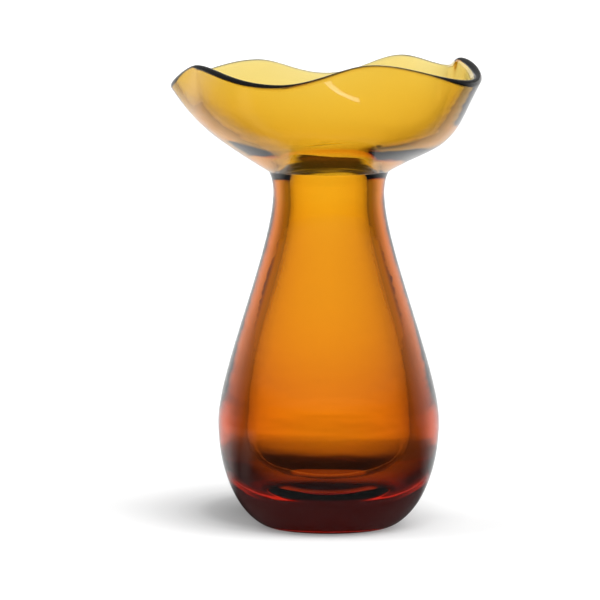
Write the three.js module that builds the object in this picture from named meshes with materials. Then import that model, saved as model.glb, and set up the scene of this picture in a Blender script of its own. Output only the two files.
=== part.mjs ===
// A mouth-blown vase of amber glass: a heavy rounded base, a pear-shaped body that narrows to a waist,
// and a flared cup whose lip is tooled into uneven waves. The glass is worked hot from three gathers,
// which meet face to face at the belly, the widest section, and at the waist, the narrowest.
// Millimetres, +Z up, with the origin at the centre of the flat that the vase stands on.
import * as THREE from "three";

// Base and body: radii and heights of the outside
const FOOT_R = 20;
const BELLY_R = 40.5;
const WAIST_R = 20.3;
const CREASE_R = 21.9;
const FLOOR = 15; // solid glass under the cavity
const CAVITY_RISE = 22.2; // cavity floor to the cavity's widest level
const BELLY_RISE = 1.8; // that level to the belly
const WAIST_RISE = 83.8; // belly to waist
const CREASE_RISE = 7.6; // waist to the crease under the cup

// Walls
const BELLY_WALL = 10.6;
const WAIST_WALL = 6.2;
const THROAT_DIP = 3.3; // the waist down to the throat's narrowest level
const UNDER_WALL = 4.6; // under the cup, where the throat opens into it
const BOWL_WALL = 4.1;
const LIP_WALL = 3.3; // at the rounded lip

// Cup: the mean lip, the waves in it and the slopes of its wall above the horizontal, in degrees
const LIP_R = 53.5;
const LIP_RISE = 36.6; // crease to mean lip
const WAVE_RISE = 4;
const WAVE_DRAW = 3;
const BOWL_LEAN = 1.6; // how far the cup droops towards +X, half-way up its wall
const FLARE_SLOPE = 60;
const BOWL_SLOPE = 31;
const LIP_SLOPE = 75;
const LIP_SLOPE_SWING = 15; // a lip that is drawn out lies flatter, one drawn in stands steeper

// The waves round the lip, turned from +X towards +Y: where each crest or trough is, in degrees, and its
// rise and draw as shares of WAVE_RISE and WAVE_DRAW. A positive draw reaches outwards.
const WAVES = [
  { turn: 18, rise: 1.1, draw: -0.8 },
  { turn: 36, rise: 0.25, draw: 0.2 },
  { turn: 57, rise: 1.1, draw: -1 },
  { turn: 91, rise: -0.75, draw: 0.5 },
  { turn: 122, rise: 0.65, draw: -0.8 },
  { turn: 172, rise: -1.1, draw: 1.3 },
  { turn: 203, rise: 0.75, draw: -0.8 },
  { turn: 251, rise: -0.75, draw: 0.7 },
  { turn: 288, rise: 1, draw: -1 },
  { turn: 333, rise: -0.6, draw: 1.2 },
];

// How full each curve is where it leaves and where it arrives: its handles, as shares of its chord
const BASE_FULLNESS = [0.19, 0.575];
const BODY_FULLNESS = [0.215, 0.23];
const FLOOR_FULLNESS = [0.45, 0.5];
const CAVITY_FULLNESS = [0.37, 0.27];
const FLARE_FULLNESS = [0.5, 0.15];
const BOWL_FULLNESS = [0.475, 0.525];
const THROAT_FULLNESS = [0.3, 0.6];

// Shares of the way up the bowl: where the throat ends, where the wall stops easing from UNDER_WALL to
// BOWL_WALL, and where it starts thinning to LIP_WALL
const MOUTH_SHARE = 0.06;
const UNDER_SHARE = 0.41;
const LIP_SHARE = 0.6;

// Smoothness of the facets
const TURN_STEPS = 80;
const CURVE_STEPS = 9;
const LIP_ROUND_STEPS = 4;
const NUDGE = 0.01; // share of the bowl to either side of a point that gives its direction there

const OUTWARD = 0;
const UPWARD = 90;
const HALF_TURN = 180;
const FULL_TURN = 360;

// Section points, as radius and height
const point = (radius, height) => new THREE.Vector2(radius, height);
const CAVITY_Z = FLOOR + CAVITY_RISE;
const BELLY_Z = CAVITY_Z + BELLY_RISE;
const WAIST_Z = BELLY_Z + WAIST_RISE;
const CREASE_Z = WAIST_Z + CREASE_RISE;
const footEdge = point(FOOT_R, 0);
const belly = point(BELLY_R, BELLY_Z);
const bellyInside = point(BELLY_R - BELLY_WALL, CAVITY_Z);
const waist = point(WAIST_R, WAIST_Z);
const waistInside = point(WAIST_R - WAIST_WALL, WAIST_Z - THROAT_DIP);
const crease = point(CREASE_R, CREASE_Z);
const cavityFloor = point(0, FLOOR);

// A step of the given length along a slope in the section.
function along(slope, length) {
  const angle = THREE.MathUtils.degToRad(slope);
  return point(Math.cos(angle), Math.sin(angle)).multiplyScalar(length);
}

// A smooth curve that leaves one point on a slope and arrives at another on a slope.
function bend(from, fromSlope, to, toSlope, [leaving, arriving]) {
  const chord = from.distanceTo(to);
  const leave = from.clone().add(along(fromSlope, leaving * chord));
  const arrive = to.clone().sub(along(toSlope, arriving * chord));
  return new THREE.CubicBezierCurve(from, leave, arrive, to);
}

// A section turned round the Z axis.
function turned(section) {
  return new THREE.LatheGeometry(section, TURN_STEPS).rotateX(Math.PI / 2);
}

// Base: the heavy bottom gather, dished by the rounded floor of the cavity
function baseSection() {
  const outside = bend(footEdge, OUTWARD, belly, UPWARD, BASE_FULLNESS);
  const dish = bend(cavityFloor, OUTWARD, bellyInside, UPWARD, FLOOR_FULLNESS);
  return [
    point(0, 0),
    ...outside.getPoints(CURVE_STEPS),
    ...dish.getPoints(CURVE_STEPS).reverse(),
  ];
}

// Body: the pear-shaped wall from the belly to the waist, open at both ends
function bodySection() {
  const outside = bend(belly, UPWARD, waist, UPWARD, BODY_FULLNESS);
  const cavity = bend(bellyInside, UPWARD, waistInside, UPWARD, CAVITY_FULLNESS);
  return [
    ...outside.getPoints(CURVE_STEPS),
    ...cavity.getPoints(CURVE_STEPS).reverse(),
    belly,
  ];
}

// The lip's rise and draw at a turn in degrees, eased by a cosine from each wave to the next.
function waveAt(turn) {
  const next = WAVES.findIndex((wave) => wave.turn > turn);
  const after = WAVES[Math.max(next, 0)];
  const before = WAVES.at(next > 0 ? next - 1 : -1);
  const modTurn = (degrees) => THREE.MathUtils.euclideanModulo(degrees, FULL_TURN);
  const share = modTurn(turn - before.turn) / modTurn(after.turn - before.turn);
  const ease = (1 - Math.cos(Math.PI * share)) / 2;
  return {
    rise: THREE.MathUtils.lerp(before.rise, after.rise, ease),
    draw: THREE.MathUtils.lerp(before.draw, after.draw, ease),
  };
}

// A point on the bowl's outside, which sinks by the droop half-way up and not at all at the ends.
function bowlOutside({ curve, droop }, share) {
  const at = curve.getPoint(share);
  at.y -= droop * (4 * share * (1 - share)) ** 2;
  return at;
}

// The bowl's wall at a share of the way up it.
function bowlWall(share) {
  const eased = THREE.MathUtils.smoothstep(share, MOUTH_SHARE, UNDER_SHARE);
  const thinned = Math.max((share - LIP_SHARE) / (1 - LIP_SHARE), 0) ** 2;
  return THREE.MathUtils.lerp(UNDER_WALL, BOWL_WALL, eased) + (LIP_WALL - BOWL_WALL) * thinned;
}

// The point inside the bowl that is one wall away from its outside.
function bowlInside(bowl, share) {
  const behind = bowlOutside(bowl, share - NUDGE);
  const inward = bowlOutside(bowl, share + NUDGE).sub(behind).rotateAround(point(0, 0), Math.PI / 2);
  return bowlOutside(bowl, share).add(inward.setLength(bowlWall(share)));
}

// The cup's wall at a turn: up the outside from the waist, over the lip, and down the inside to the throat.
function cupSection(turn) {
  const wave = waveAt(turn);
  const slope = LIP_SLOPE - LIP_SLOPE_SWING * wave.draw;
  const top = point(LIP_R + WAVE_DRAW * wave.draw, CREASE_Z + LIP_RISE + WAVE_RISE * wave.rise);
  const lipRadius = LIP_WALL / 2;
  const lipCentre = top.clone().sub(along(slope, lipRadius));
  const lipOutside = lipCentre.clone().add(along(slope - UPWARD, lipRadius));
  const flare = bend(waist, UPWARD, crease, FLARE_SLOPE, FLARE_FULLNESS);
  const bowl = {
    curve: bend(crease, BOWL_SLOPE, lipOutside, slope, BOWL_FULLNESS),
    droop: BOWL_LEAN * Math.cos(THREE.MathUtils.degToRad(turn)),
  };

  const outside = [];
  const inside = [];
  for (let step = 0; step < CURVE_STEPS; step++) {
    const share = step / CURVE_STEPS;
    outside.push(bowlOutside(bowl, share));
    inside.push(bowlInside(bowl, THREE.MathUtils.lerp(MOUTH_SHARE, 1, share)));
  }
  const lipRound = [];
  for (let step = 0; step <= LIP_ROUND_STEPS; step++) {
    const slopeThere = slope - UPWARD + (HALF_TURN * step) / LIP_ROUND_STEPS;
    lipRound.push(lipCentre.clone().add(along(slopeThere, lipRadius)));
  }
  const mouth = inside[0];
  const mouthStep = bowlInside(bowl, MOUTH_SHARE + NUDGE).sub(mouth);
  const mouthSlope = THREE.MathUtils.radToDeg(mouthStep.angle());
  const throat = bend(waistInside, UPWARD, mouth, mouthSlope, THROAT_FULLNESS);
  return [
    ...flare.getPoints(CURVE_STEPS),
    ...outside.slice(1),
    ...lipRound,
    ...inside.reverse(),
    ...throat.getPoints(CURVE_STEPS).reverse().slice(1),
  ];
}

// The cup's sections set round the axis and skinned into one closed ring.
function cupGeometry() {
  const positions = [];
  const triangles = [];
  const sections = [];
  for (let step = 0; step < TURN_STEPS; step++) {
    sections.push((FULL_TURN * step) / TURN_STEPS);
  }
  const rings = sections.map(cupSection);
  const around = rings[0].length;
  rings.forEach((ring, step) => {
    const angle = THREE.MathUtils.degToRad(sections[step]);
    const next = (step + 1) % TURN_STEPS;
    ring.forEach(({ x: radius, y: height }, i) => {
      positions.push(radius * Math.cos(angle), radius * Math.sin(angle), height);
      const j = (i + 1) % around;
      const [a, b] = [step * around + i, step * around + j];
      const [c, d] = [next * around + i, next * around + j];
      triangles.push(a, c, d, a, d, b);
    });
  });
  const geometry = new THREE.BufferGeometry();
  geometry.setAttribute("position", new THREE.Float32BufferAttribute(positions, 3));
  geometry.setIndex(triangles);
  geometry.computeVertexNormals();
  return geometry;
}

// Glass looks darker where it is thicker, so the base is red-brown and the thin cup is pale amber.
function glass(color) {
  return new THREE.MeshStandardMaterial({ color, roughness: 0.05, metalness: 0 });
}

function named(name, geometry, material) {
  const mesh = new THREE.Mesh(geometry, material);
  mesh.name = name;
  return mesh;
}

const vase = new THREE.Group();
vase.add(named("base", turned(baseSection()), glass(0x8a4012)));
vase.add(named("body", turned(bodySection()), glass(0xe4941a)));
vase.add(named("cup", cupGeometry(), glass(0xf0b82e)));

export default vase;
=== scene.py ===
# %% [markdown]
# # A blown amber vase
#
# This lesson dresses a small vase of clear amber glass: a heavy base, a pear-shaped body, a narrow waist
# and a flared cup with a wavy lip. Glass shows everything behind it, so most of the look comes from the
# true shape of both walls, from how the colour deepens with thickness, and from a calm white studio.
#
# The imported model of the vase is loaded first. It fixes where the base, body and cup are, in metres.

# %% Load the frame
import math
from types import SimpleNamespace

import bpy
import numpy as np
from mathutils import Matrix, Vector


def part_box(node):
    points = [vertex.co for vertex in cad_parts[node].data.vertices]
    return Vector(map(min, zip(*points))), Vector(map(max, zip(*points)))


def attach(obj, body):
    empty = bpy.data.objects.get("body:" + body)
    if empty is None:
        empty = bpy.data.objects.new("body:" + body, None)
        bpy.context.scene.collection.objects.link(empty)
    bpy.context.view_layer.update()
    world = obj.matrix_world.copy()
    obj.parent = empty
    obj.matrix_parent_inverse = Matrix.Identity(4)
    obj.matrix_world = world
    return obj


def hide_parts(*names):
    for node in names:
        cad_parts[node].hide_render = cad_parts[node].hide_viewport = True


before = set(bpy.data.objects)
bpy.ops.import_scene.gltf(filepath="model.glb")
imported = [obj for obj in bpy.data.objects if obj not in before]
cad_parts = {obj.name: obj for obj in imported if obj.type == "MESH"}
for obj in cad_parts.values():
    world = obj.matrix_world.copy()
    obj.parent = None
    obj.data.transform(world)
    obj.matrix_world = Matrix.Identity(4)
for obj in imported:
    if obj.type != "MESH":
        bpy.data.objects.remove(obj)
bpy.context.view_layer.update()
MM = 0.001

# %% [markdown]
# ## The camera
#
# The vase was seen from about 1.6 metres away with a long lens, a little from above: the lip is almost
# level with the eye and the foot shows a shallow curve. A camera could be turned by hand until it looks
# right. Here it is placed by its distance and height and aimed at a point, so it can be checked.

# %% Camera
EYE_DISTANCE = 1.600
EYE_HEIGHT = 0.233
AIM_X = -0.0105
AIM_Z = 0.0833
LENS_MM = 263.7
SENSOR_MM = 36.0
FARTHEST = 50.0


def place_object(name, data):
    """A new object at the origin that holds the data, linked to the scene."""
    placed = bpy.data.objects.new(name, data)
    bpy.context.scene.collection.objects.link(placed)
    return placed


camera_data = bpy.data.cameras.new("camera")
camera_data.lens = LENS_MM
camera_data.sensor_width = SENSOR_MM
camera_data.clip_end = FARTHEST
camera = place_object("camera", camera_data)
camera.location = (0.0, -EYE_DISTANCE, EYE_HEIGHT)
camera.rotation_euler = (
    math.pi / 2 - math.atan2(EYE_HEIGHT - AIM_Z, EYE_DISTANCE),
    0.0,
    math.atan2(-AIM_X, EYE_DISTANCE),
)
bpy.context.scene.camera = camera
print("camera pitch in degrees:", round(math.degrees(camera.rotation_euler.x), 2))

# %% [markdown]
# ## Curves of the section
#
# A glassmaker judges a vase by its section: where the wall is widest, where it is narrowest and how full
# the curve between them is. One helper makes every such curve. It leaves one point on a slope, arrives at
# another on a slope, and its fullness says how long it keeps to each slope. Cosine spacing puts more
# points near both ends of a curve, where creases and corners need them.

# %% Section helpers
OUTWARD = 0.0
UPWARD = math.pi / 2


def along(slope, length):
    """A step in the section: length times the cosine and the sine of the slope, as radius and height."""
    slope, length = np.broadcast_arrays(slope, length)
    return np.stack([length * np.cos(slope), length * np.sin(slope)], -1)


def even_ends(steps):
    """Shares from 0 to 1 with cosine spacing: half of one minus the cosine of a half turn's shares."""
    return (1 - np.cos(np.linspace(0, np.pi, steps))) / 2


def bend(start, start_slope, end, end_slope, fullness, steps):
    """A cubic Bezier curve: the sum of the start, two handles and the end, with weights that are the terms
    of (1 - u) plus u, cubed. The handles lie on the slopes, each a share of the chord away from its end.
    Points go in as (..., 2) and rows come out as (..., steps, 2)."""
    start, end = np.broadcast_arrays(np.asarray(start, float), np.asarray(end, float))
    chord = np.linalg.norm(end - start, axis=-1)
    leave = start + along(start_slope, fullness[0] * chord)
    arrive = end - along(end_slope, fullness[1] * chord)
    u = even_ends(steps)[:, None]
    start, leave, arrive, end = (p[..., None, :] for p in (start, leave, arrive, end))
    return (
        (1 - u) ** 3 * start
        + 3 * (1 - u) ** 2 * u * leave
        + 3 * (1 - u) * u**2 * arrive
        + u**3 * end
    )


print("five shares with cosine spacing:", even_ends(5).round(2))

# %% [markdown]
# ## The walls of the base and body
#
# Both walls are plain turned shapes. The outside runs from the foot over the belly to the waist, and the
# cavity follows it inside, so the glass is thick low down and thinner in the neck. The heights come from
# the frame, and the radii are the vase's own sizes.

# %% Places in the section
FOOT_R = 20 * MM
WAIST_R = 20.3 * MM
CREASE_R = 21.9 * MM
CREASE_RISE = 7.6 * MM
FLOOR_Z = 15 * MM
CAVITY_DIP = 1.8 * MM
BELLY_WALL = 10.6 * MM
WAIST_WALL = 6.2 * MM
THROAT_DIP = 3.3 * MM

belly_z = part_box("base")[1].z
belly_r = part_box("base")[1].x
waist_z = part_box("body")[1].z
crease_z = waist_z + CREASE_RISE
belly = (belly_r, belly_z)
cavity_wide = (belly_r - BELLY_WALL, belly_z - CAVITY_DIP)
waist = (WAIST_R, waist_z)
waist_inside = (WAIST_R - WAIST_WALL, waist_z - THROAT_DIP)
crease = np.array([CREASE_R, crease_z])
print("waist height in mm:", round(waist_z / MM, 1), "crease:", round(crease_z / MM, 1))

# %% Outer and inner sections
FLARE_SLOPE = math.radians(60)
BASE_FULLNESS = (0.19, 0.575)
BODY_FULLNESS = (0.215, 0.23)
FLARE_FULLNESS = (0.5, 0.15)
FLOOR_FULLNESS = (0.45, 0.5)
CAVITY_FULLNESS = (0.37, 0.27)
FOOT_ROWS = 7
BASE_ROWS = 32
BODY_ROWS = 36
FLARE_ROWS = 10
FIRST_RING = 0.05  # the innermost ring of the foot, as a share of its radius

foot_radii = np.linspace(FIRST_RING, 1, FOOT_ROWS) * FOOT_R
foot_disc = np.stack([foot_radii, np.zeros(FOOT_ROWS)], -1)
base_outside = bend((FOOT_R, 0), OUTWARD, belly, UPWARD, BASE_FULLNESS, BASE_ROWS)
body_outside = bend(belly, UPWARD, waist, UPWARD, BODY_FULLNESS, BODY_ROWS)
flare = bend(waist, UPWARD, crease, FLARE_SLOPE, FLARE_FULLNESS, FLARE_ROWS)
cavity_floor = bend((0, FLOOR_Z), OUTWARD, cavity_wide, UPWARD, FLOOR_FULLNESS, BASE_ROWS)
cavity_wall = bend(cavity_wide, UPWARD, waist_inside, UPWARD, CAVITY_FULLNESS, BODY_ROWS)
print("widest outside in mm:", round(body_outside[:, 0].max() / MM, 1))
print("widest inside in mm:", round(cavity_wall[:, 0].max() / MM, 1))

# %% [markdown]
# ## The wavy lip
#
# While it was soft, the lip of the cup was pulled up and in at five places and left to sink outwards
# between them. No two waves are alike, so a sine round the rim would look machined. Each crest and trough
# gets its own place, rise and draw, and a cosine eases from each to the next.

# %% Lip waves
LIP_R = 53.5 * MM
LIP_RISE = 36.6 * MM
WAVE_RISE = 4 * MM
WAVE_DRAW = 3 * MM
FULL_TURN = 360  # degrees
WAVES = (
    # turn in degrees, rise, draw
    (18, 1.1, -0.8),
    (36, 0.25, 0.2),
    (57, 1.1, -1.0),
    (91, -0.75, 0.5),
    (122, 0.65, -0.8),
    (172, -1.1, 1.3),
    (203, 0.75, -0.8),
    (251, -0.75, 0.7),
    (288, 1.0, -1.0),
    (333, -0.6, 1.2),
)


def lip_waves(turn):
    """Rise and draw of the lip at each turn: between two neighbouring waves, the first plus their
    difference times half of one minus the cosine of the share of the way from one to the other."""
    first_again = (WAVES[0][0] + FULL_TURN, *WAVES[0][1:])
    waves = np.array((*WAVES, first_again))
    places = np.radians(waves[:, 0])
    turn = np.mod(turn - places[0], 2 * np.pi) + places[0]
    i = np.clip(np.searchsorted(places, turn, side="right") - 1, 0, len(WAVES) - 1)
    share = (turn - places[i]) / (places[i + 1] - places[i])
    eased = ((1 - np.cos(np.pi * share)) / 2)[:, None]
    rise_draw = waves[i, 1:] + (waves[i + 1, 1:] - waves[i, 1:]) * eased
    return rise_draw[:, 0], rise_draw[:, 1]


COLUMNS = 368
turns = np.linspace(0, 2 * np.pi, COLUMNS, endpoint=False)
rise, draw = lip_waves(turns)
lowest, highest = rise.min() * WAVE_RISE, rise.max() * WAVE_RISE
print("lip rises from", round(lowest / MM, 1), "to", round(highest / MM, 1), "mm")

# %% [markdown]
# ## The outside of the cup
#
# The cup's wall changes all the way round, so it has one section for each turn. A lip that is drawn out
# lies flatter, and one drawn in stands up. The wall leaves a sharp crease above the waist, and its
# underside droops a little to one side. All the sections are worked out at once, as one array.

# %% Outside of the cup
LIP_WALL = 3.3 * MM
BOWL_LEAN = 1.6 * MM
BOWL_SLOPE = math.radians(31)
LIP_SLOPE = math.radians(75)
LIP_SLOPE_SWING = math.radians(15)
BOWL_FULLNESS = (0.475, 0.525)
BOWL_ROWS = 46
LIP_ROWS = 11

lip_slope = LIP_SLOPE - LIP_SLOPE_SWING * draw
lip_top = np.stack([LIP_R + WAVE_DRAW * draw, crease_z + LIP_RISE + WAVE_RISE * rise], -1)
lip_centre = lip_top - along(lip_slope, LIP_WALL / 2)
round_turns = np.linspace(-UPWARD, UPWARD, LIP_ROWS)
lip_round = lip_centre[:, None] + along(lip_slope[:, None] + round_turns, LIP_WALL / 2)
bowl_outside = bend(crease, BOWL_SLOPE, lip_round[:, 0], lip_slope, BOWL_FULLNESS, BOWL_ROWS)
up = even_ends(BOWL_ROWS)
midway = (4 * up * (1 - up)) ** 2  # 1 half-way up the wall and 0 at both ends
bowl_outside[..., 1] -= BOWL_LEAN * np.cos(turns)[:, None] * midway
print("lip reaches", round(lip_round[..., 0].max() / MM, 1), "mm from the axis")

# %% [markdown]
# ## The inside of the cup
#
# Tooling a hot cup leaves its wall thick near the throat and thinner towards the lip. The Solidify
# modifier could give it one even wall. Moving the outside inwards by a wall that follows the height gives
# the true one, and the colour of the glass depends on it. A curve then carries it down into the throat.

# %% Inside of the cup
UNDER_WALL = 4.6 * MM
BOWL_WALL = 4.1 * MM
MOUTH_FULLNESS = (0.3, 0.6)
MOUTH_ROW = 7  # the row of the bowl where the throat ends
UNDER_SHARE = 0.41
LIP_SHARE = 0.6
THROAT_ROWS = 26


def ease(share, start, end):
    """From 0 at the start to 1 at the end: three times the square of the share less twice its cube."""
    share = np.clip((share - start) / (end - start), 0, 1)
    return share**2 * (3 - 2 * share)


def inset(section, wall):
    """The section moved inwards by the wall: its direction at each row, turned a quarter to the left."""
    direction = np.gradient(section, axis=-2)
    direction = direction / np.linalg.norm(direction, axis=-1, keepdims=True)
    inward = np.stack([-direction[..., 1], direction[..., 0]], -1)
    return section + wall[:, None] * inward


thinned = np.clip((up - LIP_SHARE) / (1 - LIP_SHARE), 0, 1) ** 2
bowl_wall = UNDER_WALL + (BOWL_WALL - UNDER_WALL) * ease(up, up[MOUTH_ROW], UNDER_SHARE)
bowl_wall = bowl_wall + (LIP_WALL - BOWL_WALL) * thinned
bowl_inside = inset(bowl_outside, bowl_wall)
bowl_inside[:, -1] = lip_round[:, -1]
mouth_step = bowl_inside[:, MOUTH_ROW + 1] - bowl_inside[:, MOUTH_ROW]
mouth_slope = np.arctan2(mouth_step[:, 1], mouth_step[:, 0])
bowl_inside = bowl_inside[:, MOUTH_ROW:]
throat = bend(waist_inside, UPWARD, bowl_inside[:, 0], mouth_slope, MOUTH_FULLNESS, THROAT_ROWS)
print("throat is", round(2 * throat[..., 0].min() / MM, 1), "mm across")

# %% [markdown]
# ## One skin of glass
#
# The gathers are fused while hot, so no seam shows. The whole vase is one closed skin: from the middle of
# the foot up the outside, over the lip, and down the inside to the middle of the cavity floor. Laid out
# flat it is a grid of rows by columns, with one point at each pole. It could be spun from a profile, but
# the lip changes from turn to turn, so the grid is filled with whole arrays.

# %% Rows of the skin
def ring(section):
    """A turned section repeated at every turn, as (columns, rows, 2)."""
    return np.broadcast_to(section, (COLUMNS, *section.shape))


sections = np.concatenate(
    [
        ring(foot_disc),
        ring(base_outside)[:, 1:],
        ring(body_outside)[:, 1:],
        ring(flare)[:, 1:],
        bowl_outside[:, 1:],
        lip_round[:, 1:],
        bowl_inside[:, -2::-1],
        throat[:, -2::-1],
        ring(cavity_wall)[:, -2::-1],
        ring(cavity_floor)[:, -2:0:-1],
    ],
    axis=1,
)
print("the skin has", sections.shape[0], "columns and", sections.shape[1], "rows")


# %% Skin
def skin_points(sections, low_pole, high_pole):
    """The points of the skin: radius times the cosine and the sine of the turn, and the height. The two
    poles, on the axis, come last."""
    radius, height = sections[..., 0], sections[..., 1]
    x = radius * np.cos(turns)[:, None]
    y = radius * np.sin(turns)[:, None]
    grid = np.stack([x, y, height], -1).reshape(-1, 3)
    return np.concatenate([grid, [[0, 0, low_pole], [0, 0, high_pole]]])


def skin_faces(columns, rows):
    """The corners of all the faces in one line, and how many each face has: quads join neighbouring rows
    and columns, and a fan of triangles closes each pole."""
    here = np.arange(columns)[:, None] * rows + np.arange(rows - 1)
    there = (np.arange(columns)[:, None] + 1) % columns * rows + np.arange(rows - 1)
    quads = np.stack([here, there, there + 1, here + 1], -1).reshape(-1, 4)
    low_pole = np.full(columns, columns * rows)
    high_pole = low_pole + 1
    low_fan = np.stack([low_pole, there[:, 0], here[:, 0]], -1)
    high_fan = np.stack([high_pole, here[:, -1] + 1, there[:, -1] + 1], -1)
    fans = np.concatenate([low_fan, high_fan])
    corners = np.concatenate([quads.ravel(), fans.ravel()])
    sizes = np.concatenate([np.full(len(quads), 4), np.full(len(fans), 3)])
    return corners, sizes


def skin_mesh(name, sections, low_pole, high_pole):
    """A closed smooth mesh of the skin. Each face starts where the faces before it end in the corners."""
    points = skin_points(sections, low_pole, high_pole)
    corners, sizes = skin_faces(*sections.shape[:2])
    mesh = bpy.data.meshes.new(name)
    mesh.vertices.add(len(points))
    mesh.vertices.foreach_set("co", points.astype(np.float32).ravel())
    mesh.loops.add(len(corners))
    mesh.loops.foreach_set("vertex_index", corners.astype(np.int32))
    mesh.polygons.add(len(sizes))
    mesh.polygons.foreach_set("loop_start", (np.cumsum(sizes) - sizes).astype(np.int32))
    mesh.update(calc_edges=True)
    mesh.validate()
    mesh.shade_smooth()
    return mesh


vase = place_object("vase_glass", skin_mesh("vase_glass", sections, 0.0, FLOOR_Z))
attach(vase, "root")
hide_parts("base", "body", "cup")
print("skin:", len(vase.data.vertices), "points,", len(vase.data.polygons), "faces")

# %% [markdown]
# ## Amber glass
#
# The glass is coloured all through, so the colour must come from how far light travels inside it: pale
# straw at the lip, orange in the body and red-brown in the base. A tinted surface would give one colour
# everywhere. Volume Absorption takes a little red, more green and most of the blue as light goes along.

# %% Glass
GLASS_IOR = 1.5
ABSORB_DENSITY = 420.0
ABSORB_COLOR = (0.99, 0.83, 0.05, 1.0)
WHITE = (1.0, 1.0, 1.0, 1.0)

glass = bpy.data.materials.new("amber_glass")
glass.use_nodes = True
nodes, links = glass.node_tree.nodes, glass.node_tree.links
surface = nodes["Principled BSDF"]
surface.inputs["Base Color"].default_value = WHITE
surface.inputs["Roughness"].default_value = 0.0
surface.inputs["IOR"].default_value = GLASS_IOR
surface.inputs["Transmission Weight"].default_value = 1.0
absorb = nodes.new("ShaderNodeVolumeAbsorption")
absorb.inputs["Color"].default_value = ABSORB_COLOR
absorb.inputs["Density"].default_value = ABSORB_DENSITY
links.new(absorb.outputs["Volume"], nodes["Material Output"].inputs["Volume"])
vase.data.materials.append(glass)


def light_left(thickness):
    """Red, green and blue that cross a thickness of glass: e to the power of minus the density times the
    thickness times what the colour lacks of white."""
    return np.exp(-ABSORB_DENSITY * thickness * (1 - np.array(ABSORB_COLOR[:3])))


print("light left after one wall of the cup:", light_left(BOWL_WALL).round(2))
print("light left after the floor of the base:", light_left(FLOOR_Z).round(2))

# %% [markdown]
# ## Faint cords
#
# Blown glass is never quite even. Faint ripples, which glassmakers call cords, run round the wall as the
# gather was turned, and they bend what is seen through it a little. They are far too shallow to model, so
# a stretched noise moves the surface's normals by a fraction of a millimetre of bump.

# %% Cords
CORD_SCALE = 25.0
CORD_STRETCH = (1.0, 1.0, 5.0)
CORD_DETAIL = 2.0
CORD_DEPTH = 0.14 * MM

coordinates = nodes.new("ShaderNodeTexCoord")
stretch = nodes.new("ShaderNodeMapping")
stretch.inputs["Scale"].default_value = CORD_STRETCH
cords = nodes.new("ShaderNodeTexNoise")
cords.inputs["Scale"].default_value = CORD_SCALE
cords.inputs["Detail"].default_value = CORD_DETAIL
ripple = nodes.new("ShaderNodeBump")
ripple.inputs["Distance"].default_value = CORD_DEPTH
links.new(coordinates.outputs["Object"], stretch.inputs["Vector"])
links.new(stretch.outputs["Vector"], cords.inputs["Vector"])
links.new(cords.outputs["Fac"], ripple.inputs["Height"])
links.new(ripple.outputs["Normal"], surface.inputs["Normal"])
print("cords are about", round(1 / CORD_SCALE / MM), "mm long and at most", CORD_DEPTH / MM, "mm deep")

# %% [markdown]
# ## The studio
#
# Clear glass shows only what is round it, so the studio is shaped for it, as a photographer of glass does.
# The table and the room are white, two dark cards stand to the left and right behind the vase, and the
# room above is dark. The cards draw the dark lines along the inner wall. They could be real panels, but
# these would stand in the way of other views, so the materials of the table and the room hold them, and
# the camera itself sees only white and a soft shadow.
#
# These materials are sums made of nodes. A few helpers write them down as formulas.

# %% Helpers for the studio
def link_value(tree, socket, value):
    """Sets a socket to a number, or links another socket to it."""
    if isinstance(value, (int, float)):
        socket.default_value = value
    else:
        tree.links.new(value, socket)


def maths(tree, operation, first, second=0.0):
    """One Math node: the operation on two numbers or sockets."""
    node = tree.nodes.new("ShaderNodeMath")
    node.operation = operation
    link_value(tree, node.inputs[0], first)
    link_value(tree, node.inputs[1], second)
    return node.outputs[0]


def times(tree, first, *others):
    """The product of numbers or sockets."""
    for other in others:
        first = maths(tree, "MULTIPLY", first, other)
    return first


def levels(tree, value, stops):
    """A grey level that follows a value from -1 to 1: straight lines between the stops (value, level)."""
    node = tree.nodes.new("ShaderNodeValToRGB")
    tree.links.new(times(tree, maths(tree, "ADD", value, 1.0), 0.5), node.inputs["Fac"])
    elements = node.color_ramp.elements
    while len(elements) < len(stops):
        elements.new(1.0)
    for element, (place, level) in zip(elements, stops):
        element.position = (place + 1) / 2
        element.color = (level, level, level, 1.0)
    return node.outputs["Color"]


def pick(tree, share, first, second):
    """The first number where the share is 0 and the second where it is 1."""
    node = tree.nodes.new("ShaderNodeMix")
    link_value(tree, node.inputs["Factor"], share)
    link_value(tree, node.inputs["A"], first)
    link_value(tree, node.inputs["B"], second)
    return node.outputs["Result"]


print("helpers for the studio:", ", ".join(f.__name__ for f in (maths, times, levels, pick)))

# %% [markdown]
# ## Dark cards
#
# A card is a range of turns round the vase, counted from straight behind it, and each kind of light gets
# its own. Light that crosses the glass sees white behind the vase and darker cards towards its sides.
# Light that an inner wall has turned back sees the same cards a little dimmer. Light that the outside
# mirrors sees white behind the vase, and dark beside and in front of it. Real cards and lamps could make
# these levels too, but not one kind of light apart from another.

# %% Levels of the cards
# Stops give the cosine of the turn from straight behind, and the level there
THROUGH_STOPS = (
    (-1.0, 1.0),
    (0.1, 1.0),
    (0.26, 0.32),
    (0.42, 0.34),
    (0.574, 0.42),
    (0.743, 0.52),
    (0.848, 0.65),
    (0.899, 0.78),
    (0.94, 0.88),
    (0.985, 0.96),
    (1.0, 1.0),
)
TURNED_STOPS = (
    (-1.0, 0.78),
    (0.1, 0.78),
    (0.26, 0.25),
    (0.42, 0.265),
    (0.574, 0.33),
    (0.766, 0.38),
    (0.866, 0.5),
    (0.9, 0.58),
    (0.94, 0.7),
    (0.978, 0.82),
    (1.0, 0.86),
)
MIRROR_STOPS = ((-1.0, 0.08), (0.17, 0.08), (0.37, 0.35), (0.57, 0.7), (0.77, 0.95), (1.0, 1.0))
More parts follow.
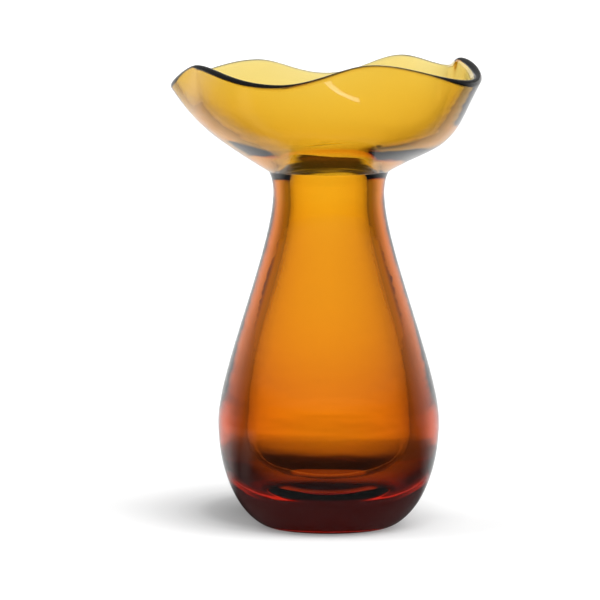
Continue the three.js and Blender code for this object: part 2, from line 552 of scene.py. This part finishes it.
# Stops give the sine of the turn towards the right, and how much of the level is left
SIDE_STOPS = ((-1.0, 1.0), (0.0, 1.0), (0.35, 0.88), (1.0, 0.85))

for card_turn in (0, 30, 60, 90):
    cosine = math.cos(math.radians(card_turn))
    card = [round(float(np.interp(cosine, *zip(*stops))), 2) for stops in (THROUGH_STOPS, MIRROR_STOPS)]
    print(card_turn, "degrees from behind, seen through and mirrored:", card)


# %% Cards
BOUNCED = 0.5  # a count of bounces above this is one or more


def card_levels(tree, place):
    """The levels of the cards at a place or in a direction. Its reach is the square root of x squared plus
    y squared, and y and x over the reach are the cosine and the sine of its turn from behind."""
    apart = tree.nodes.new("ShaderNodeSeparateXYZ")
    tree.links.new(place, apart.inputs[0])
    x, y, z = (apart.outputs[axis] for axis in "XYZ")
    reach = maths(tree, "SQRT", maths(tree, "ADD", times(tree, x, x), times(tree, y, y)))
    behind = maths(tree, "DIVIDE", y, reach)
    rightwards = maths(tree, "DIVIDE", x, reach)
    side = levels(tree, rightwards, SIDE_STOPS)
    return SimpleNamespace(
        x=x,
        y=y,
        z=z,
        reach=reach,
        behind=behind,
        rightwards=rightwards,
        through=times(tree, levels(tree, behind, THROUGH_STOPS), side),
        turned=times(tree, levels(tree, behind, TURNED_STOPS), side),
        mirrored=levels(tree, behind, MIRROR_STOPS),
    )


def seen_level(tree, path, through, turned, mirrored):
    """White for rays from the camera, and the given levels for rays out of the glass and off it."""
    was_turned = maths(tree, "GREATER_THAN", path["Glossy Depth"], BOUNCED)
    through = pick(tree, was_turned, through, turned)
    level = pick(tree, path["Is Reflection Ray"], 1.0, mirrored)
    return pick(tree, path["Is Transmission Ray"], level, through)


print("cards for three kinds of light: through the glass, turned back in it and mirrored")

# %% [markdown]
# ## The table
#
# The vase stands on a white table that runs so far back that it is the backdrop too. It could end in a
# curved sweep, as paper does in a studio, but from this height the camera sees only the table. It lies a
# hair under the foot, so that the two surfaces don't fight for the same place.

# %% Table top
TABLE_SIZE = 30.0
TABLE_DROP = 0.2 * MM

table_mesh = bpy.data.meshes.new("table")
half = TABLE_SIZE / 2
table_corners = [(-half, -half), (half, -half), (half, half), (-half, half)]
table_mesh.from_pydata([(x, y, -TABLE_DROP) for x, y in table_corners], [], [(0, 1, 2, 3)])
table = place_object("table", table_mesh)
print("table reaches", half, "m each way, and lies", TABLE_DROP / MM, "mm under the foot")

# %% [markdown]
# ## The table close to the vase
#
# A thick base is a strong lens: it shows the table right beside and behind the foot, which lies in the
# vase's own shade. Shadows alone come out too pale here, because white light from all round fills them.
# So the levels also follow the reach, the distance from the axis, each over its own span.

# %% Levels close to the vase
NEAR_SPAN = 500 * MM
FOOT_SPAN = 100 * MM
# Stops give the reach as a share of the span, and a level or how much of the second level is picked
NEAR_STOPS = (
    (-1.0, 0.12),
    (0.07, 0.12),
    (0.1, 0.25),
    (0.14, 0.5),
    (0.2, 0.56),
    (0.29, 0.62),
    (0.43, 0.84),
    (0.54, 0.95),
    (0.7, 0.98),
    (1.0, 1.0),
)
FOOT_STOPS = ((-1.0, 1.0), (0.2, 1.0), (0.3, 0.9), (0.4, 0.35), (0.5, 0.08), (0.7, 0.0), (1.0, 0.0))
FOOT_LEVELS = ((-1.0, 0.6), (0.28, 0.6), (0.38, 0.3), (0.6, 0.16), (0.9, 0.13), (1.0, 0.13))
CLOSE_STOPS = ((-1.0, 1.0), (0.5, 1.0), (0.9, 0.0), (1.0, 0.0))
# Painted shade: close to the foot, the table that the outside of the glass mirrors is one grey level
MIRRORED_SHADE_STOPS = ((-1.0, 1.0), (0.1, 1.0), (0.17, 0.0), (1.0, 0.0))
MIRRORED_SHADE_LEVEL = 0.25
# Stops give the sine of the turn towards the right, and how much of the level beside the vase is picked
LEFT_STOPS = ((-1.0, 1.0), (-0.15, 1.0), (0.0, 0.0), (1.0, 0.0))
# Stops give the cosine of the turn from behind, and the level mirrored from the left of the vase
BESIDE_STOPS = (
    (-1.0, 0.08),
    (-0.3, 0.08),
    (-0.12, 0.35),
    (0.0, 0.3),
    (0.12, 0.15),
    (0.3, 0.5),
    (0.5, 1.0),
    (1.0, 1.0),
)

white_table = bpy.data.materials.new("white_table")
white_table.use_nodes = True
tree = white_table.node_tree
tree.nodes.clear()
path = tree.nodes.new("ShaderNodeLightPath").outputs
cards = card_levels(tree, tree.nodes.new("ShaderNodeTexCoord").outputs["Object"])
near = maths(tree, "DIVIDE", cards.reach, NEAR_SPAN)
through = times(tree, cards.through, levels(tree, near, NEAR_STOPS))
foot = levels(tree, maths(tree, "DIVIDE", cards.reach, FOOT_SPAN), FOOT_LEVELS)
turned = pick(tree, levels(tree, near, FOOT_STOPS), cards.turned, foot)
on_left = times(tree, levels(tree, cards.rightwards, LEFT_STOPS), levels(tree, near, CLOSE_STOPS))
mirrored = pick(tree, on_left, cards.mirrored, levels(tree, cards.behind, BESIDE_STOPS))
mirrored = pick(tree, levels(tree, near, MIRRORED_SHADE_STOPS), mirrored, MIRRORED_SHADE_LEVEL)
level = seen_level(tree, path, through, turned, mirrored)
print("levels close to the vase follow the reach up to", NEAR_SPAN / MM, "mm")

# %% [markdown]
# ## Shade under the vase
#
# The soft shadow beside the foot is darkest where the glass meets the table and fades to the left and the
# back. The lamps cast its wide part. Its dark heart is an ellipse on the table that the material shades,
# one for the camera and a tighter one for what the glass shows.

# %% Shade
# Centre and reach of each ellipse, as x, y, x, y
THROUGH_SHADE = (-12 * MM, 30 * MM, 38 * MM, 30 * MM)
CONTACT_SHADE = (-12 * MM, 45 * MM, 38 * MM, 55 * MM)
SHADE_SPAN = 2.5
# Stops give the distance from the centre, in reaches over the span, and the level left there
THROUGH_SHADE_STOPS = (
    (-1.0, 0.25),
    (0.34, 0.25),
    (0.42, 0.45),
    (0.5, 0.7),
    (0.66, 0.92),
    (0.85, 1.0),
    (1.0, 1.0),
)
CONTACT_SHADE_STOPS = (
    (-1.0, 0.3),
    (0.16, 0.3),
    (0.34, 0.53),
    (0.4, 0.7),
    (0.48, 0.82),
    (0.6, 0.93),
    (0.72, 1.0),
    (1.0, 1.0),
)


def shade_level(tree, place, ellipse, stops):
    """A level that follows the distance from the middle of an ellipse on the table, in units of its reach:
    the square root of the sum of the squares of the two offsets, each over the reach that way."""
    squares = []
    for offset, middle, reach in zip((place.x, place.y), ellipse[:2], ellipse[2:]):
        share = maths(tree, "DIVIDE", maths(tree, "SUBTRACT", offset, middle), reach)
        squares.append(times(tree, share, share))
    distance = maths(tree, "SQRT", maths(tree, "ADD", *squares))
    return levels(tree, maths(tree, "DIVIDE", distance, SHADE_SPAN), stops)


through_shade = shade_level(tree, cards, THROUGH_SHADE, THROUGH_SHADE_STOPS)
contact_shade = shade_level(tree, cards, CONTACT_SHADE, CONTACT_SHADE_STOPS)
level = times(tree, level, pick(tree, path["Is Camera Ray"], through_shade, contact_shade))
print("shade reaches", SHADE_SPAN * CONTACT_SHADE[2] / MM, "mm to each side of its centre")

# %% [markdown]
# ## The table's finish
#
# The table is matte, so a Diffuse shader takes the shadows of the lamps. Stronger lamps could bring it up
# to white, but they would light the vase too, so a weak Emission lifts it. Real glass also gathers light
# on the table under its foot, which a renderer finds hard to follow, so the table glows there for what
# the glass shows.

# %% Table finish
TABLE_COLOR = (0.92, 0.92, 0.92)
TABLE_GLOW = 0.09
CAMERA_GLOW = 0.3
UNDER_GLOW = 0.3
UNDER_SPAN = 50 * MM
AWAY_STOPS = ((-1.0, 0.0), (0.12, 0.0), (0.5, 1.0), (1.0, 1.0))
UNDER_STOPS = ((-1.0, 1.0), (0.36, 1.0), (0.4, 0.0), (1.0, 0.0))
UNDER_DEPTH_STOPS = ((-1.0, 0.0), (-0.2, 0.0), (-0.05, 1.0), (1.0, 1.0))

paint = tree.nodes.new("ShaderNodeVectorMath")
paint.operation = "SCALE"
paint.inputs[0].default_value = TABLE_COLOR
tree.links.new(level, paint.inputs["Scale"])
matte = tree.nodes.new("ShaderNodeBsdfDiffuse")
tree.links.new(paint.outputs[0], matte.inputs["Color"])

away_glow = times(tree, levels(tree, near, AWAY_STOPS), TABLE_GLOW)
even_glow = times(tree, level, pick(tree, path["Is Camera Ray"], away_glow, CAMERA_GLOW))
even_glow = times(tree, even_glow, maths(tree, "SUBTRACT", 1.0, path["Is Diffuse Ray"]))
under_reach = levels(tree, maths(tree, "DIVIDE", cards.reach, UNDER_SPAN), UNDER_STOPS)
under_depth = levels(tree, maths(tree, "DIVIDE", cards.y, UNDER_SPAN), UNDER_DEPTH_STOPS)
under_glow = times(tree, under_reach, UNDER_GLOW, path["Is Transmission Ray"], under_depth)
glow = tree.nodes.new("ShaderNodeEmission")
tree.links.new(maths(tree, "ADD", even_glow, under_glow), glow.inputs["Strength"])

both = tree.nodes.new("ShaderNodeAddShader")
tree.links.new(matte.outputs[0], both.inputs[0])
tree.links.new(glow.outputs[0], both.inputs[1])
output = tree.nodes.new("ShaderNodeOutputMaterial")
tree.links.new(both.outputs[0], output.inputs["Surface"])
table_mesh.materials.append(white_table)
print("the table's finish has", len(tree.nodes), "nodes")

# %% [markdown]
# ## The room
#
# At the height of the horizon the room carries the cards on. Seen through the glass it is dark higher up,
# apart from a paler stretch about 45 to 65 degrees to each side of straight behind, and its ceiling is
# darker still. A picture of a studio could stand here, but a few levels by direction are easier to set.

# %% Room
ROOM_LIGHT = 0.45
TURNED_ABOVE = 0.78
CEILING_LEVEL = 0.04
CEILING_MIRRORED = 0.25
# Stops give the cosine of the turn from behind, and the level above the table
ABOVE_STOPS = ((-1.0, 0.05), (0.2, 0.05), (0.4, 0.45), (0.72, 0.55), (0.88, 0.08), (1.0, 0.05))
# Stops give the sine of the angle above the horizon, and how much of the next level up is picked
RISE_STOPS = ((-1.0, 0.0), (0.01, 0.0), (0.05, 1.0), (1.0, 1.0))
TURNED_RISE_STOPS = ((-1.0, 0.0), (0.0, 0.0), (0.02, 1.0), (1.0, 1.0))
CEILING_STOPS = ((-1.0, 0.0), (0.2, 0.0), (0.3, 1.0), (1.0, 1.0))

world = bpy.data.worlds.new("white_room")
bpy.context.scene.world = world
world.use_nodes = True
tree = world.node_tree
background = tree.nodes["Background"]
background.inputs["Color"].default_value = WHITE
path = tree.nodes.new("ShaderNodeLightPath").outputs
cards = card_levels(tree, tree.nodes.new("ShaderNodeTexCoord").outputs["Generated"])
above = levels(tree, cards.behind, ABOVE_STOPS)
ceiling = levels(tree, cards.z, CEILING_STOPS)
through = pick(tree, levels(tree, cards.z, RISE_STOPS), cards.through, above)
through = pick(tree, ceiling, through, CEILING_LEVEL)
turned_above = times(tree, above, TURNED_ABOVE)
turned = pick(tree, levels(tree, cards.z, TURNED_RISE_STOPS), cards.turned, turned_above)
turned = pick(tree, ceiling, turned, CEILING_LEVEL)
mirrored = pick(tree, ceiling, cards.mirrored, CEILING_MIRRORED)
level = seen_level(tree, path, through, turned, mirrored)
from_table = maths(tree, "GREATER_THAN", path["Diffuse Depth"], BOUNCED)
on_table = times(tree, path["Is Diffuse Ray"], ROOM_LIGHT)
tree.links.new(pick(tree, from_table, level, on_table), background.inputs["Strength"])
print("the ceiling starts", round(math.degrees(math.asin(CEILING_STOPS[1][0]))), "degrees up")

# %% [markdown]
# ## The strip lamp
#
# One narrow softbox in front leaves a short pale streak under the front of the lip. It is the only thing
# that the cup mirrors so clearly. A streak could be painted on, but a lamp moves as the view does, so it
# is a true reflection. Its narrow beam keeps it off the rest of the vase.

# %% Strip lamp
STRIP_PLACE = (44 * MM, -155 * MM, 112 * MM)
STRIP_AIM = (3 * MM, -53 * MM, 164 * MM)
STRIP_SIZE = (46 * MM, 9 * MM)
STRIP_RADIANCE = 0.12
STRIP_BEAM = math.radians(26)


def strip_lamp(name):
    """A narrow softbox that only reflections show. Its power is its radiance times its area times pi."""
    data = bpy.data.lights.new(name, "AREA")
    data.shape = "RECTANGLE"
    data.size, data.size_y = STRIP_SIZE
    data.spread = STRIP_BEAM
    data.energy = STRIP_RADIANCE * math.pi * STRIP_SIZE[0] * STRIP_SIZE[1]
    lamp = place_object(name, data)
    lamp.location = STRIP_PLACE
    back = Vector(STRIP_PLACE) - Vector(STRIP_AIM)
    lamp.rotation_euler = back.to_track_quat("Z", "Y").to_euler()
    lamp.visible_camera = False
    lamp.visible_diffuse = False
    lamp.visible_transmission = False
    return lamp


strip = strip_lamp("strip")
print("strip lamp gives", round(strip.data.energy / MM, 3), "milliwatts")

# %% [markdown]
# ## The wide lamps
#
# Large softboxes light the table. The key lamp stands to the front right, so the shadow falls to the left
# and the back, and a fill lamp from the left keeps it soft. Area lamps could stand there, but a sun with a
# wide angle gives the same soft edge and lights the whole table evenly.

# %% Wide lamps
KEY_TOWARDS = (0.4, -0.55, 0.75)
KEY_SPREAD = math.radians(60)
KEY_STRENGTH = 1.7
FILL_TOWARDS = (-0.75, -0.1, 0.7)
FILL_SPREAD = math.radians(45)
FILL_STRENGTH = 0.75


def wide_sun(name, towards, spread, strength):
    """A far lamp as wide as a large softbox. It lights the table, and the glass doesn't mirror it."""
    data = bpy.data.lights.new(name, "SUN")
    data.angle = spread
    data.energy = strength
    lamp = place_object(name, data)
    lamp.rotation_euler = Vector(towards).to_track_quat("Z", "Y").to_euler()
    lamp.visible_glossy = False
    lamp.visible_transmission = False
    return lamp


key = wide_sun("key", KEY_TOWARDS, KEY_SPREAD, KEY_STRENGTH)
fill = wide_sun("fill", FILL_TOWARDS, FILL_SPREAD, FILL_STRENGTH)
print("key and fill:", [round(lamp.data.energy, 2) for lamp in (key, fill)])

# %% [markdown]
# ## Colour
#
# The Standard view shows each colour as it was worked out, where a film-like view would wash out the
# amber.

# %% Colour
bpy.context.scene.view_settings.view_transform = "Standard"
